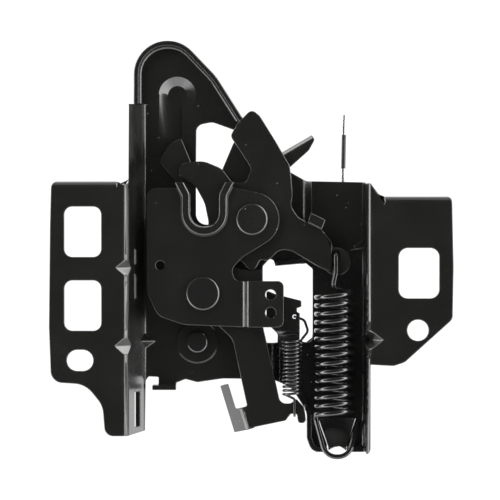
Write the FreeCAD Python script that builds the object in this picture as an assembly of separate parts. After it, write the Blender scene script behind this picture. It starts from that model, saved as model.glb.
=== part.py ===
import FreeCAD, Part
import math
import os

# Bonnet latch, open, in millimetres. +X is to the viewer's right, +Z up and +Y away from the viewer.
# The origin is where the closed fork holds the striker bar, in the fork's middle plane.

V = FreeCAD.Vector
TOWARDS_BACK = V(0, 1, 0)

# Sheet and plate thicknesses
SHEET = 2.5
COVER_SHEET = 2.5
FORK_THICKNESS = 4.5
LEVER_SHEET = 2.5
PAWL_THICKNESS = 4.0
BEND_R = 2.0

# Gaps along and round the pivots
COVER_GAP = 1.0
LEVER_GAP = 0.75
LEVER_TO_WEB = 3.5
FACE_GAP = 0.1
PIVOT_GAP = 0.05
TOOTH_GAP = 0.35
SEAT_GAP = 0.25
COIL_GAP = 0.4

# Depths of the bracket's levels along Y
FLANGE_FRONT = -13.5
CHANNEL_STEP = 4.0

# Pivots, their pins and heads
FORK_X = 24.0
FORK_Z = -6.5
PAWL_X = -0.5
PAWL_Z = -43.5
FORK_PIN_R = 5.0
PAWL_PIN_R = 4.5
FORK_HEAD_R = 8.0
PAWL_HEAD_R = 8.5
HEAD_RISE = 1.9
REAR_HEAD_R = 7.0
REAR_HEAD_RISE = 2.2
WASHER_R = 9.0
PAWL_BUSH_R = 7.0

# Fork teeth, as radii about the fork's pivot
TOOTH_R = 25.25
FORK_WAIST_R = 21.6

# Striker slot
SLOT_X = 0.25
SLOT_R = 7.0
SLOT_BOTTOM = -10.25
SLOT_FLARE = 3.6
COLLAR_WIDTH = 4.5
COLLAR_RISE = 2.4
COLLAR_ROUND = 1.4
COLLAR_TOP = 12.0
WEB_SLOT_X = 1.5
WEB_SLOT_R = 5.75
WEB_SLOT_BOTTOM = -9.65
LEVER_SLOT_R = 5.5

# Bracket, front view
LEFT_EDGE = -77.0
LEFT_BEND = -38.0
WEB_LEFT = -30.0
RIGHT_EDGE = 124.2
RIGHT_BEND = 84.5
CHANNEL_RIGHT = 80.5
CHANNEL_LEFT = 51.5
CHANNEL_BOTTOM = -124.0
FLANGE_TOP = 12.5
CHANNEL_TOP = 12.0
RIGHT_TOP = 5.0
RIGHT_FOOT = -78.7
LEG_BOTTOM = -114.3
WALL_TOP = 51.0
RIM_RISE = 6.1
CHANNEL_RIM_RISE = 5.0
LIP_DEPTH = 7.5

# Lobe above the striker slot
LOBE_LEFT = -35.2
LOBE_TOP = 82.6
LOBE_R = 16.8
LOBE_FOOT = 38.0
RECESS_X = -13.4
RECESS_Z = 55.2
RECESS_R = 9.4
RECESS_FLOOR_R = 4.8
RECESS_DEPTH = 2.4

# Flange holes and windows
BOLT_R = 5.25
BOLT_X = 106.5
BOLT_Z = -61.5
OVAL_X = -61.5
OVAL_Z = -76.5
OVAL_LENGTH = 13.0
OVAL_HEIGHT = 10.5
WINDOW_WIDTH = 18.2
WINDOW_HEIGHT = 25.0
LEFT_WINDOW_X = -60.1
UPPER_WINDOW_Z = -12.5
LOWER_WINDOW_Z = -49.2
RIGHT_WINDOW_X = 107.0
RIGHT_WINDOW_Z = -33.1
RIGHT_WINDOW_WIDTH = 20.0
CENTRE_WINDOW = (29.5, 54.5, -69.0, -29.0)

# Pop-up spring and the fork's hook hole
SPRING_X = 65.25
SPRING_Y = -1.5
SPRING_TOP = -43.5
SPRING_BOTTOM = -104.0
SPRING_COIL_R = 9.0
SPRING_WIRE_R = 1.25
SPRING_HALF_TURNS = 29
HOOK_HOLE_X = 66.0
HOOK_HOLE_Z = -24.3
HOOK_HOLE_R = 2.0
HOOK_LOBE_R = 7.0
LUG_FRONT = -7.4

# Tongue that holds the spring's lower loop
TONGUE_ROOT = -106.5
TONGUE_TIP = -121.0
TONGUE_SHIFT = 1.5
LOOP_R = 6.9
LOOP_FLOOR = -125.7
LOOP_LEAN = 0.26

# Pawl return spring and its anchor tab
RETURN_X = 44.15
RETURN_Y = -3.2
RETURN_TOP = -67.0
RETURN_BOTTOM = -94.0
RETURN_COIL_R = 4.45
RETURN_WIRE_R = 0.65
RETURN_HALF_TURNS = 29
ANCHOR_X = 45.3
ANCHOR_Z = -55.3
ANCHOR_HOLE_R = 1.1
ANCHOR_FRONT = -1.9
NOTCH_X = 45.25
NOTCH_Z = -104.0

# Safety lever's return spring
SAFETY_WIRE_R = 0.6
SAFETY_COIL_R = 9.5
SAFETY_PITCH = 1.25
SAFETY_LEG_Z = 7.0

# Boss below the cover, with its rivet
BOSS_X = -3.5
BOSS_Z = -68.5
BOSS_R = 10.5
BOSS_RISE = 1.2
BOSS_HEAD_R = 5.5
BOSS_PIN_R = 3.0

# Cover plate
COVER_LEFT = -28.5
FLAG_STEP = 3.5
FLAG_RIGHT = 39.8
FLAG_TOP = -37.2
FLAG_BOTTOM = -60.3
FLAG_HOLE_X = 33.25
FLAG_HOLE_Z = -44.0
FLAG_HOLE_PITCH = 9.0
FLAG_HOLE_R = 2.6
EYE_R = 13.65
COVER_HOLE = (-21.75, -29.5, 2.25)

# Upright rod behind the channel
ROD_X = 69.4
ROD_R = 0.85
ROD_TOP = 45.5
ROD_BOTTOM = -12.0
ROD_LEAN = 1.1
SLEEVE_R = 1.1
SLEEVE_BOTTOM = 18.5
SLEEVE_TOP = 35.5

# Levels along Y that follow from the sizes above
FORK_FRONT = -FORK_THICKNESS / 2
FORK_BACK = FORK_THICKNESS / 2
COVER_BACK = FORK_FRONT - COVER_GAP
COVER_FRONT = COVER_BACK - COVER_SHEET
LEVER_FRONT = FORK_BACK + LEVER_GAP
LEVER_BACK = LEVER_FRONT + LEVER_SHEET
WEB_FRONT = LEVER_BACK + LEVER_TO_WEB
WEB_BACK = WEB_FRONT + SHEET
CHANNEL_FRONT = WEB_FRONT + CHANNEL_STEP
CHANNEL_BACK = CHANNEL_FRONT + SHEET
FLANGE_BACK = FLANGE_FRONT + SHEET
PAWL_FRONT = -PAWL_THICKNESS / 2
PAWL_BACK = PAWL_THICKNESS / 2
LOOP_Y = SPRING_Y + 2.6
LOBE_FRONT = FORK_FRONT + 0.8
BUSH_R = SAFETY_COIL_R - SAFETY_WIRE_R - COIL_GAP


def flat(corner):
    """Corner of an outline as a vector, without its radius."""
    return V(corner[0], corner[1], 0)


def rounded_edges(corners, place):
    """Edges of a closed polygon (a, b, radius) with tangent arcs; place maps its plane into space."""
    stations = []
    count = len(corners)
    for index, corner in enumerate(corners):
        here = flat(corner)
        radius = corner[2]
        back = (flat(corners[index - 1]) - here).normalize()
        ahead = (flat(corners[(index + 1) % count]) - here).normalize()
        if radius <= 0:
            stations.append((here, None, here))
            continue
        half = back.getAngle(ahead) / 2
        reach = radius / math.tan(half)
        inward = (back + ahead).normalize()
        middle = here + inward * (radius / math.sin(half) - radius)
        stations.append((here + back * reach, middle, here + ahead * reach))
    edges = []
    previous_end = stations[-1][2]
    for start, middle, end in stations:
        if (start - previous_end).Length > 1e-5:
            edges.append(Part.LineSegment(place(previous_end), place(start)).toShape())
        if middle is not None:
            edges.append(Part.Arc(place(start), place(middle), place(end)).toShape())
        previous_end = end
    return edges


def grown(corners, distance):
    """The outline with every side moved outward by distance, and its corner radii to match."""
    count = len(corners)
    area = sum(corners[i - 1][0] * corners[i][1] - corners[i][0] * corners[i - 1][1] for i in range(count))
    turn = 1 if area > 0 else -1
    result = []
    for index, corner in enumerate(corners):
        here = flat(corner)
        arriving = (here - flat(corners[index - 1])).normalize()
        leaving = (flat(corners[(index + 1) % count]) - here).normalize()
        normals = V(arriving.y + leaving.y, -arriving.x - leaving.x, 0) * turn
        moved_corner = here + normals * (2 * distance / normals.Length ** 2)
        convex = arriving.cross(leaving).z * turn > 0
        radius = corner[2] + distance if convex else corner[2] - distance
        result.append((moved_corner.x, moved_corner.y, max(radius, 0) if corner[2] > 0 else 0))
    return result


def front_wire(corners, y):
    """Closed outline in the front view at depth y; each corner is (x, z, radius)."""
    return Part.Wire(rounded_edges(corners, lambda p: V(p.x, y, p.y)))


def front_plate(corners, y_start, y_end):
    """Plate with a rounded front-view outline, from y_start back to y_end."""
    return Part.Face(front_wire(corners, y_start)).extrude(TOWARDS_BACK * (y_end - y_start))


def plan_prism(corners, bottom, top):
    """Prism along Z whose horizontal section has corners (x, y, radius)."""
    wire = Part.Wire(rounded_edges(corners, lambda p: V(p.x, p.y, bottom)))
    return Part.Face(wire).extrude(V(0, 0, top - bottom))


def side_prism(corners, left, right):
    """Prism along X whose side-view section has corners (y, z, radius)."""
    wire = Part.Wire(rounded_edges(corners, lambda p: V(left, p.x, p.y)))
    return Part.Face(wire).extrude(V(right - left, 0, 0))


def box(x_low, x_high, y_low, y_high, z_low, z_high):
    """Square-cornered block."""
    return Part.makeBox(x_high - x_low, y_high - y_low, z_high - z_low, V(x_low, y_low, z_low))


def pin(x, z, radius, y_start, y_end):
    """Cylinder along Y."""
    return Part.makeCylinder(radius, y_end - y_start, V(x, y_start, z), TOWARDS_BACK)


def ring(x, z, inner, outer, y_start, y_end):
    """Washer or bush about an axis along Y."""
    return pin(x, z, outer, y_start, y_end).cut(pin(x, z, inner, y_start - 1, y_end + 1))


def rectangle(x, z, width, height, radius):
    """Corners of an upright rectangle about its middle."""
    half_w, half_h = width / 2, height / 2
    return [(x - half_w, z - half_h, radius), (x + half_w, z - half_h, radius),
            (x + half_w, z + half_h, radius), (x - half_w, z + half_h, radius)]


def moved(corners, x, z):
    """An outline given about a pivot, placed at that pivot."""
    return [(a + x, b + z, radius) for a, b, radius in corners]


def section_band(points, thickness):
    """Closed section of a bent sheet: the points run along one face, and the sheet lies to their left."""
    last = len(points) - 1
    near, far = [], []
    for index, (a, b) in enumerate(points):
        here = V(a, b, 0)
        arriving = (here - flat(points[max(index - 1, 0)])) if index > 0 else flat(points[1]) - here
        leaving = (flat(points[min(index + 1, last)]) - here) if index < last else arriving
        arriving.normalize()
        leaving.normalize()
        normals = V(-arriving.y - leaving.y, arriving.x + leaving.x, 0)
        offset = here + normals * (2 * thickness / normals.Length ** 2)
        turn = arriving.cross(leaving).z
        is_bend = 0 < index < last
        near_radius = BEND_R + thickness if turn > 0 else BEND_R
        far_radius = BEND_R if turn > 0 else BEND_R + thickness
        near.append((a, b, near_radius if is_bend else 0))
        far.append((offset.x, offset.y, far_radius if is_bend else 0))
    return near + far[::-1]


def bent_strip(points, thickness, length, x, z, lean):
    """Bent sheet with a section in (local x, y), leaned about Y so that its length runs up from (x, z)."""
    strip = plan_prism(section_band(points, thickness), 0, length)
    strip.rotate(V(0, 0, 0), V(0, 1, 0), lean)
    strip.translate(V(x, 0, z))
    return strip


def bent_route(stations):
    """Open path of straight runs with a tangent arc at each inner station (point, radius)."""
    edges = []
    run_start = stations[0][0]
    for index in range(1, len(stations) - 1):
        corner, radius = stations[index]
        back = (stations[index - 1][0] - corner).normalize()
        ahead = (stations[index + 1][0] - corner).normalize()
        half = back.getAngle(ahead) / 2
        reach = radius / math.tan(half)
        inward = (back + ahead).normalize()
        arc_start, arc_end = corner + back * reach, corner + ahead * reach
        middle = corner + inward * (radius / math.sin(half) - radius)
        edges.append(Part.LineSegment(run_start, arc_start).toShape())
        edges.append(Part.Arc(arc_start, middle, arc_end).toShape())
        run_start = arc_end
    edges.append(Part.LineSegment(run_start, stations[-1][0]).toShape())
    return edges


def coil_route(start, across, outward, rise, half_turns):
    """Coil as tangent half turns: across spans its diameter, outward is where the first half bulges."""
    edges = []
    here = start
    for index in range(half_turns):
        sense = 1 if index % 2 == 0 else -1
        there = here + across * sense + rise
        middle = (here + there) * 0.5 + outward * (sense * (there - here).Length / 2)
        edges.append(Part.Arc(here, middle, there).toShape())
        here = there
    return edges, here


def round_wire(edges, radius, sides, runs_per_turn):
    """Wire of a many-sided section along a tangent chain of edges, mitred at every station."""
    stations = [edges[0].valueAt(edges[0].FirstParameter)]
    for edge in edges:
        runs = 1
        if not isinstance(edge.Curve, Part.Line):
            turns = edge.Length / edge.Curve.Radius / (2 * math.pi)
            runs = max(2, math.ceil(turns * runs_per_turn - 0.01))
        stations += edge.discretize(runs + 1)[1:]
    along = [(end - start).normalize() for start, end in zip(stations, stations[1:])]
    along.append(along[-1])
    side = along[0].cross(V(0.3, 0.4, 0.8)).normalize()
    up = along[0].cross(side)
    angles = [2 * math.pi * index / sides for index in range(sides)]
    rings = [[stations[0] + side * (radius * math.cos(t)) + up * (radius * math.sin(t)) for t in angles]]
    for index in range(1, len(stations)):
        run = along[index - 1]
        mitre = run + along[index]
        rings.append([q + run * ((stations[index] - q).dot(mitre) / run.dot(mitre)) for q in rings[-1]])
    faces = [Part.Face(Part.makePolygon(loop + loop[:1])) for loop in (rings[0], rings[-1])]
    for near, far in zip(rings, rings[1:]):
        for index in range(sides):
            corners = [near[index - 1], near[index], far[index], far[index - 1], near[index - 1]]
            faces.append(Part.Face(Part.makePolygon(corners)))
    shell = Part.Shell(faces)
    shell.sewShape()
    return Part.Solid(shell)


# Bracket

def flange_outline():
    """Front view of the flanges, the web and the spring channel, up to the lobe."""
    wall_outer = CHANNEL_RIGHT + SHEET
    return [
        (LEFT_EDGE + 1.2, FLANGE_TOP, 3.0), (LEFT_BEND - 4.0, FLANGE_TOP, 6.0), (LEFT_BEND + 0.5, 8.5, 2.0),
        (LEFT_BEND + 0.8, WALL_TOP, 0), (0.0, WALL_TOP, 0), (19.0, 44.0, 0), (42.0, 17.5, 4.0),
        (CHANNEL_LEFT, CHANNEL_TOP + 0.2, 4.0), (wall_outer, CHANNEL_TOP - 0.4, 1.0),
        (RIGHT_BEND + 2.0, RIGHT_TOP + 1.2, 2.0), (90.0, RIGHT_TOP, 4.0), (RIGHT_EDGE - 0.8, RIGHT_TOP, 2.5),
        (RIGHT_EDGE, -30.0, 30.0), (RIGHT_EDGE - 0.4, -56.0, 4.0), (100.0, -77.5, 6.0),
        (94.5, RIGHT_FOOT - 0.6, 4.0), (wall_outer, RIGHT_FOOT, 0), (wall_outer, CHANNEL_BOTTOM, 3.5),
        (CHANNEL_LEFT + 2.5, CHANNEL_BOTTOM, 5.0), (CHANNEL_LEFT, -117.0, 3.0), (CHANNEL_LEFT, -104.0, 8.0),
        (44.0, -92.0, 9.0), (34.0, -87.4, 8.0), (9.5, -87.0, 8.0), (-3.5, -88.9, 2.0), (-9.5, -87.3, 2.0),
        (-13.5, -89.0, 1.0), (-22.0, -89.0, 1.0), (-22.8, -86.2, 1.2), (-28.0, -86.0, 1.0),
        (-29.4, -88.0, 0.6),
        (-29.8, LEG_BOTTOM + 1.0, 0.6), (-38.0, LEG_BOTTOM, 2.0), (-49.2, LEG_BOTTOM, 4.5),
        (-50.4, -99.0, 12.0),
        (-59.0, -88.4, 12.0), (LEFT_EDGE + 1.0, -87.4, 6.0), (LEFT_EDGE, -60.0, 30.0),
        (LEFT_EDGE + 0.6, -10.0, 30.0),
    ]


def lobe_outline(foot):
    """Front view of the lobe above the striker slot, down to its foot."""
    return [
        (LOBE_LEFT, foot, 0), (LOBE_LEFT, LOBE_TOP, LOBE_R), (-10.9, LOBE_TOP, LOBE_R),
        (6.2, 64.8, 30.0), (20.0, 43.0, 0), (20.0, foot, 0),
    ]


def web_slot_outline():
    """Slot for the striker bar through the web, widened above into the lobe's opening."""
    left = WEB_SLOT_X - WEB_SLOT_R
    right = WEB_SLOT_X + WEB_SLOT_R
    end_r = WEB_SLOT_R - 0.25
    return [
        (left, WEB_SLOT_BOTTOM, end_r), (right, WEB_SLOT_BOTTOM, end_r), (right, 14.0, 2.0),
        (17.5, 22.0, 2.0),
        (17.5, 37.0, 2.0), (4.0, 41.8, 6.0), (left + 0.4, 40.2, 4.0),
    ]


def centre_window_outline():
    """Window behind the flag; its upper edge slopes, with a round notch at the left."""
    left, right, low, high = CENTRE_WINDOW
    return [(left, low, 3.0), (right, low, 3.0), (right, high - 3.0, 1.5), (right - 3.5, high, 2.0),
            (left + 6.2, high - 1.3, 0.3), (left + 5.4, high + 1.4, 1.2), (left + 3.5, high + 2.3, 1.4),
            (left, high - 1.4, 2.0)]


def edges_at(shape, y, above):
    """Edges that lie in the plane at depth y and reach above a height."""
    flat_edges = [edge for edge in shape.Edges
                  if edge.BoundBox.YLength < 0.01 and abs(edge.CenterOfMass.y - y) < 1e-6]
    return [edge for edge in flat_edges if edge.BoundBox.ZMax > above]


def lobe():
    """Plate of the lobe, with its rim turned forward on a bend."""
    front = WEB_FRONT - RIM_RISE
    above = LOBE_FOOT + 0.5
    outside = front_plate(lobe_outline(LOBE_FOOT), front, WEB_BACK)
    outside = outside.makeFillet(BEND_R + SHEET - 0.1, edges_at(outside, WEB_BACK, above))
    outside = outside.makeFillet(0.8, edges_at(outside, front, above))
    inside = front_plate(grown(lobe_outline(LOBE_FOOT - 10), -SHEET), front - 1, WEB_FRONT)
    inside = inside.makeFillet(BEND_R, edges_at(inside, WEB_FRONT, LOBE_FOOT - 20))
    room_for_lever = box(LOBE_LEFT - 1, 30, front - 1, WEB_FRONT, LOBE_FOOT - 1, LOBE_FOOT + 4)
    return outside.cut([inside, room_for_lever])


def recess_body(grow, y_front):
    """Drawn form of the lobe: a round head with a wide slope, and a stem with its slope on the left."""
    low = 22.0
    stem_left, stem_right = RECESS_X - RECESS_R, RECESS_X + 2.2
    wide = [(stem_left - grow, low - grow, 0), (stem_right + grow, low - grow, 0),
            (stem_right + grow, RECESS_Z, 0),
            (stem_left - grow, RECESS_Z, 0)]
    floor = [(stem_left + 4.4 - grow, low + 0.5 - grow, 0), (stem_right - 0.5 + grow, low + 0.5 - grow, 0),
             (stem_right - 0.5 + grow, RECESS_Z, 0), (stem_left + 4.4 - grow, RECESS_Z, 0)]
    stem = Part.makeLoft([front_wire(wide, y_front), front_wire(floor, y_front + RECESS_DEPTH)], True, True)
    head = Part.makeCone(RECESS_R + grow, RECESS_FLOOR_R + grow, RECESS_DEPTH,
                         V(RECESS_X, y_front, RECESS_Z),
                         TOWARDS_BACK)
    return head.fuse(stem)


def rim(corners, y_front, y_back):
    """Sheet turned up along an outline, with the outline's own face as its outside."""
    inside = front_plate(grown(corners, -SHEET), y_front - 1, y_back + 1)
    return front_plate(corners, y_front, y_back).cut(inside)


def top_lip(left, right, top):
    """Strip turned back along a flange's upper edge, with its bend."""
    section = section_band([(FLANGE_FRONT + LIP_DEPTH, top), (FLANGE_FRONT, top), (FLANGE_FRONT, top - 9)],
                           SHEET)
    return side_prism(section, left, right)


def pressed_sheet():
    """Flanges, walls, web and channel as one bent sheet, cut to the front outline."""
    low, split, high = CHANNEL_BOTTOM - 6, -52.0, WALL_TOP
    left = [(LEFT_EDGE - 5, FLANGE_FRONT), (LEFT_BEND, FLANGE_FRONT), (WEB_LEFT, WEB_FRONT)]
    right = [(CHANNEL_RIGHT, CHANNEL_FRONT), (CHANNEL_RIGHT + 0.4, FLANGE_FRONT),
             (RIGHT_EDGE + 5, FLANGE_FRONT)]
    upper_step = [(50.0, WEB_FRONT), (54.0, CHANNEL_FRONT)]
    lower_step = [(34.0, WEB_FRONT), (38.0, CHANNEL_FRONT)]
    upper = plan_prism(section_band(left + upper_step + right, SHEET), split, high)
    lower = plan_prism(section_band(left + lower_step + right, SHEET), low, split)
    sheet = upper.fuse(lower)
    lips = [(LEFT_EDGE - 5, LEFT_BEND - 5.0, FLANGE_TOP), (RIGHT_BEND + 5.5, RIGHT_EDGE + 5, RIGHT_TOP)]
    for start, end, top in lips:
        sheet = sheet.cut(box(start, end, FLANGE_FRONT - 1, FLANGE_BACK + 0.5, top - 8, WALL_TOP + 1))
        sheet = sheet.fuse(top_lip(start, end, top))
    return sheet.common(front_plate(flange_outline(), FLANGE_FRONT - 1, CHANNEL_BACK + 1))


def wedge(corner, toward_a, toward_b, z, half_height):
    """Form across a bend: a corner out on each leg, offset in (x, y), and two corners on the bend line."""
    a = V(corner[0] + toward_a[0], corner[1] + toward_a[1], z)
    b = V(corner[0] + toward_b[0], corner[1] + toward_b[1], z)
    high = V(corner[0], corner[1], z + half_height)
    low = V(corner[0], corner[1], z - half_height)
    faces = [Part.Face(Part.makePolygon([p, q, r, p])) for p, q, r in
             ((a, high, b), (a, low, high), (a, b, low), (low, b, high))]
    solid = Part.Solid(Part.Shell(faces))
    if solid.Volume < 0:
        solid.reverse()
    return solid


def bend_darts():
    """Stiffening darts: (what stands behind or in front of the sheet, what is pressed out of it)."""
    wall = V(WEB_LEFT - LEFT_BEND, WEB_FRONT - FLANGE_FRONT, 0).normalize()
    raised, pressed = [], []
    places = [
        ((LEFT_BEND, FLANGE_FRONT), (-6.0, 0), (wall.x * 6.0, wall.y * 6.0), -30.5, 5.0),
        ((LEFT_BEND, FLANGE_FRONT), (-6.5, 0), (wall.x * 6.0, wall.y * 6.0), -69.5, 5.8),
        ((CHANNEL_RIGHT + 0.4, FLANGE_FRONT), (8.6, 0), (0, 8.0), -66.5, 6.5),
    ]
    for corner, toward_a, toward_b, z, half_height in places:
        skin_a = (toward_a[0] * 1.45, toward_a[1] * 1.45)
        skin_b = (toward_b[0] * 1.45, toward_b[1] * 1.45)
        inner = (corner[0] + (toward_a[0] + toward_b[0]) * 0.12,
                 corner[1] + (toward_a[1] + toward_b[1]) * 0.12)
        raised.append(wedge(inner, skin_a, skin_b, z, half_height * 1.45))
        pressed.append(wedge(corner, toward_a, toward_b, z, half_height))
    web_corner = (WEB_LEFT, WEB_FRONT)
    raised.append(wedge(web_corner, (-wall.x * 6.0, -wall.y * 6.0), (5.5, 0), -68.0, 4.0))
    return raised, pressed


def wall_pad(bottom, top):
    """Low pad pressed on the inner face of the left wall."""
    x_low, x_high = LEFT_BEND + 3.4, LEFT_BEND + 5.4
    along = V(WEB_LEFT - LEFT_BEND, WEB_FRONT - FLANGE_FRONT, 0)
    rise = V(along.y, -along.x, 0).normalize()
    start = V(x_low, FLANGE_FRONT + (x_low - LEFT_BEND) * along.y / along.x, 0)
    end = V(x_high, FLANGE_FRONT + (x_high - LEFT_BEND) * along.y / along.x, 0)
    corners = [start - rise, end - rise, end + rise * 0.7, start + rise * 0.7]
    return plan_prism([(q.x, q.y, 0) for q in corners], bottom, top)


def small_lips():
    """Small turned edges: at the tray's foot, along the window's top and in the channel's corner."""
    left, right, low, high = CENTRE_WINDOW
    foot = -92.4
    window_lip = front_plate([(left + 6.7, high - 1.25, 0), (right - 4.0, high, 0),
                              (right - 4.0, high + 2.2, 0),
                              (left + 6.7, high + 1.0, 0)], WEB_FRONT - 2.4, WEB_FRONT + 0.5)
    corner_fold = front_plate([(CHANNEL_RIGHT - 6.2, -22.2, 0), (CHANNEL_RIGHT - 0.9, -17.3, 0),
                               (CHANNEL_RIGHT + 0.3, -21.5, 0)], CHANNEL_FRONT - 1.6, CHANNEL_FRONT + 0.5)
    return [box(-23.0, -14.0, WEB_FRONT, WEB_BACK, foot, -86.5),
            box(-26.0, -14.0, WEB_FRONT - 6.5, WEB_BACK, foot, foot + SHEET), window_lip, corner_fold]


def tongue_outline(gap):
    """Front view of the tongue, or of the slot that it leaves when a gap is given."""
    middle = SPRING_X + TONGUE_SHIFT
    return [(middle - 9.6 - gap, TONGUE_ROOT, 0), (middle - 4.6 - gap, TONGUE_TIP + 0.5, 0),
            (middle - 4.0 - gap, CHANNEL_BOTTOM - 6, 0), (middle + 4.0 + gap, CHANNEL_BOTTOM - 6, 0),
            (middle + 4.6 + gap, TONGUE_TIP + 0.5, 0), (middle + 9.6 + gap, TONGUE_ROOT, 0)]


def spring_tongue():
    """Tongue lanced out of the channel and bent forward into the spring's lower loop."""
    slope_end = (LOOP_Y - 1.2, TONGUE_TIP)
    section = section_band([(CHANNEL_FRONT, TONGUE_ROOT + 6), (CHANNEL_FRONT, TONGUE_ROOT), slope_end],
                           SHEET)
    middle = SPRING_X + TONGUE_SHIFT
    tongue = side_prism(section, middle - 12, middle + 12)
    root = [(middle - 9.6, TONGUE_ROOT, 0), (middle + 9.6, TONGUE_ROOT, 0),
            (middle + 9.6, TONGUE_ROOT + 7, 0),
            (middle - 9.6, TONGUE_ROOT + 7, 0)]
    shape = front_plate(tongue_outline(0), FLANGE_FRONT, CHANNEL_BACK + 1)
    tongue = tongue.common(shape.fuse(front_plate(root, FLANGE_FRONT, CHANNEL_BACK + 1)).removeSplitter())
    saddle = pin(middle, TONGUE_TIP - 4.2, 4.8, FLANGE_FRONT, CHANNEL_FRONT)
    return tongue.cut(saddle)


def spring_anchor():
    """Wide tab that rises from the window's lower edge and holds the pawl spring's upper hook."""
    back = ANCHOR_FRONT + SHEET
    foot = CENTRE_WINDOW[2] - 1.5
    section = section_band([(CHANNEL_BACK, foot - 5), (CHANNEL_BACK, foot), (back, foot + 8),
                            (back, -38.0)], SHEET)
    right = ANCHOR_X + 3.4
    outline = [(ANCHOR_X - 8.5, foot - 20, 0), (right - 0.8, foot - 20, 0),
               (right - 0.8, ANCHOR_Z + 1.6, 0.6),
               (right - 2.2, ANCHOR_Z + 2.5, 0.3), (right - 2.2, ANCHOR_Z + 4.2, 0.3),
               (right, ANCHOR_Z + 5.0, 0.5),
               (right, ANCHOR_Z + 8.0, 1.0), (right - 12.7, ANCHOR_Z + 11.2, 2.0),
               (right - 17.5, ANCHOR_Z + 13.2, 1.0),
               (right - 17.5, ANCHOR_Z - 3.0, 2.0), (ANCHOR_X - 8.5, foot + 6.5, 2.0)]
    tab = side_prism(section, ANCHOR_X - 20, right + 4)
    tab = tab.common(front_plate(outline, ANCHOR_FRONT - 2, CHANNEL_BACK + 1))
    return tab.cut(pin(ANCHOR_X, ANCHOR_Z, ANCHOR_HOLE_R, ANCHOR_FRONT - 2, back + 1))


def bracket():
    """The stamped bracket, one sheet."""
    through = (FLANGE_FRONT - 1, CHANNEL_BACK + 6)
    channel_rim = rim(flange_outline(), CHANNEL_FRONT - CHANNEL_RIM_RISE, CHANNEL_BACK)
    channel_rim = channel_rim.common(box(CHANNEL_LEFT - 1, CHANNEL_RIGHT + 1, 0, CHANNEL_BACK,
                                         CHANNEL_BOTTOM - 6, CHANNEL_BOTTOM + 24))
    raised, pressed = bend_darts()
    body = pressed_sheet().fuse([lobe(), channel_rim, recess_body(1.2, WEB_BACK)])
    body = body.cut(recess_body(0, WEB_FRONT))
    windows = [
        rectangle(LEFT_WINDOW_X, UPPER_WINDOW_Z, WINDOW_WIDTH, WINDOW_HEIGHT, 4.0),
        rectangle(LEFT_WINDOW_X, LOWER_WINDOW_Z, WINDOW_WIDTH, WINDOW_HEIGHT, 4.0),
        rectangle(RIGHT_WINDOW_X, RIGHT_WINDOW_Z, RIGHT_WINDOW_WIDTH, WINDOW_HEIGHT, 4.5),
        rectangle(OVAL_X, OVAL_Z, OVAL_LENGTH, OVAL_HEIGHT, OVAL_HEIGHT / 2 - 0.05),
        centre_window_outline(), web_slot_outline(), tongue_outline(0.3),
    ]
    cutters = [front_plate(corners, *through) for corners in windows]
    cutters.append(pin(BOLT_X, BOLT_Z, BOLT_R, *through))
    cutters.append(pin(FORK_X, FORK_Z, FORK_PIN_R + PIVOT_GAP, *through))
    cutters.append(pin(PAWL_X, PAWL_Z, PAWL_PIN_R + PIVOT_GAP, *through))
    cutters.append(box(LEFT_BEND - 4, WEB_LEFT, -3.5, 3.5, -110.5, -93.0))
    cutters.append(pin(FORK_X - SAFETY_COIL_R, SAFETY_LEG_Z, SAFETY_WIRE_R + SEAT_GAP, *through))
    body = body.cut(cutters)
    body = body.fuse(raised).cut(pressed)
    boss = pin(BOSS_X, BOSS_Z, BOSS_R, WEB_FRONT - BOSS_RISE, WEB_FRONT)
    pads = [wall_pad(-29.0, -21.5), wall_pad(-46.0, -34.0)]
    body = body.fuse([spring_tongue(), spring_anchor(), boss] + pads + small_lips())
    return body.cut(pin(BOSS_X, BOSS_Z, BOSS_PIN_R + PIVOT_GAP, *through)).removeSplitter()


# Cover plate

def striker_slot_outline():
    """U-slot of the cover, flared at its mouth."""
    left, right = SLOT_X - SLOT_R, SLOT_X + SLOT_R
    end_r = SLOT_R - 0.05
    return [(left - SLOT_FLARE, 13.0, 0), (left, 6.0, 6.0), (left, SLOT_BOTTOM, end_r),
            (right, SLOT_BOTTOM, end_r), (right, 6.0, 6.0), (right + SLOT_FLARE, 13.0, 0)]


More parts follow.
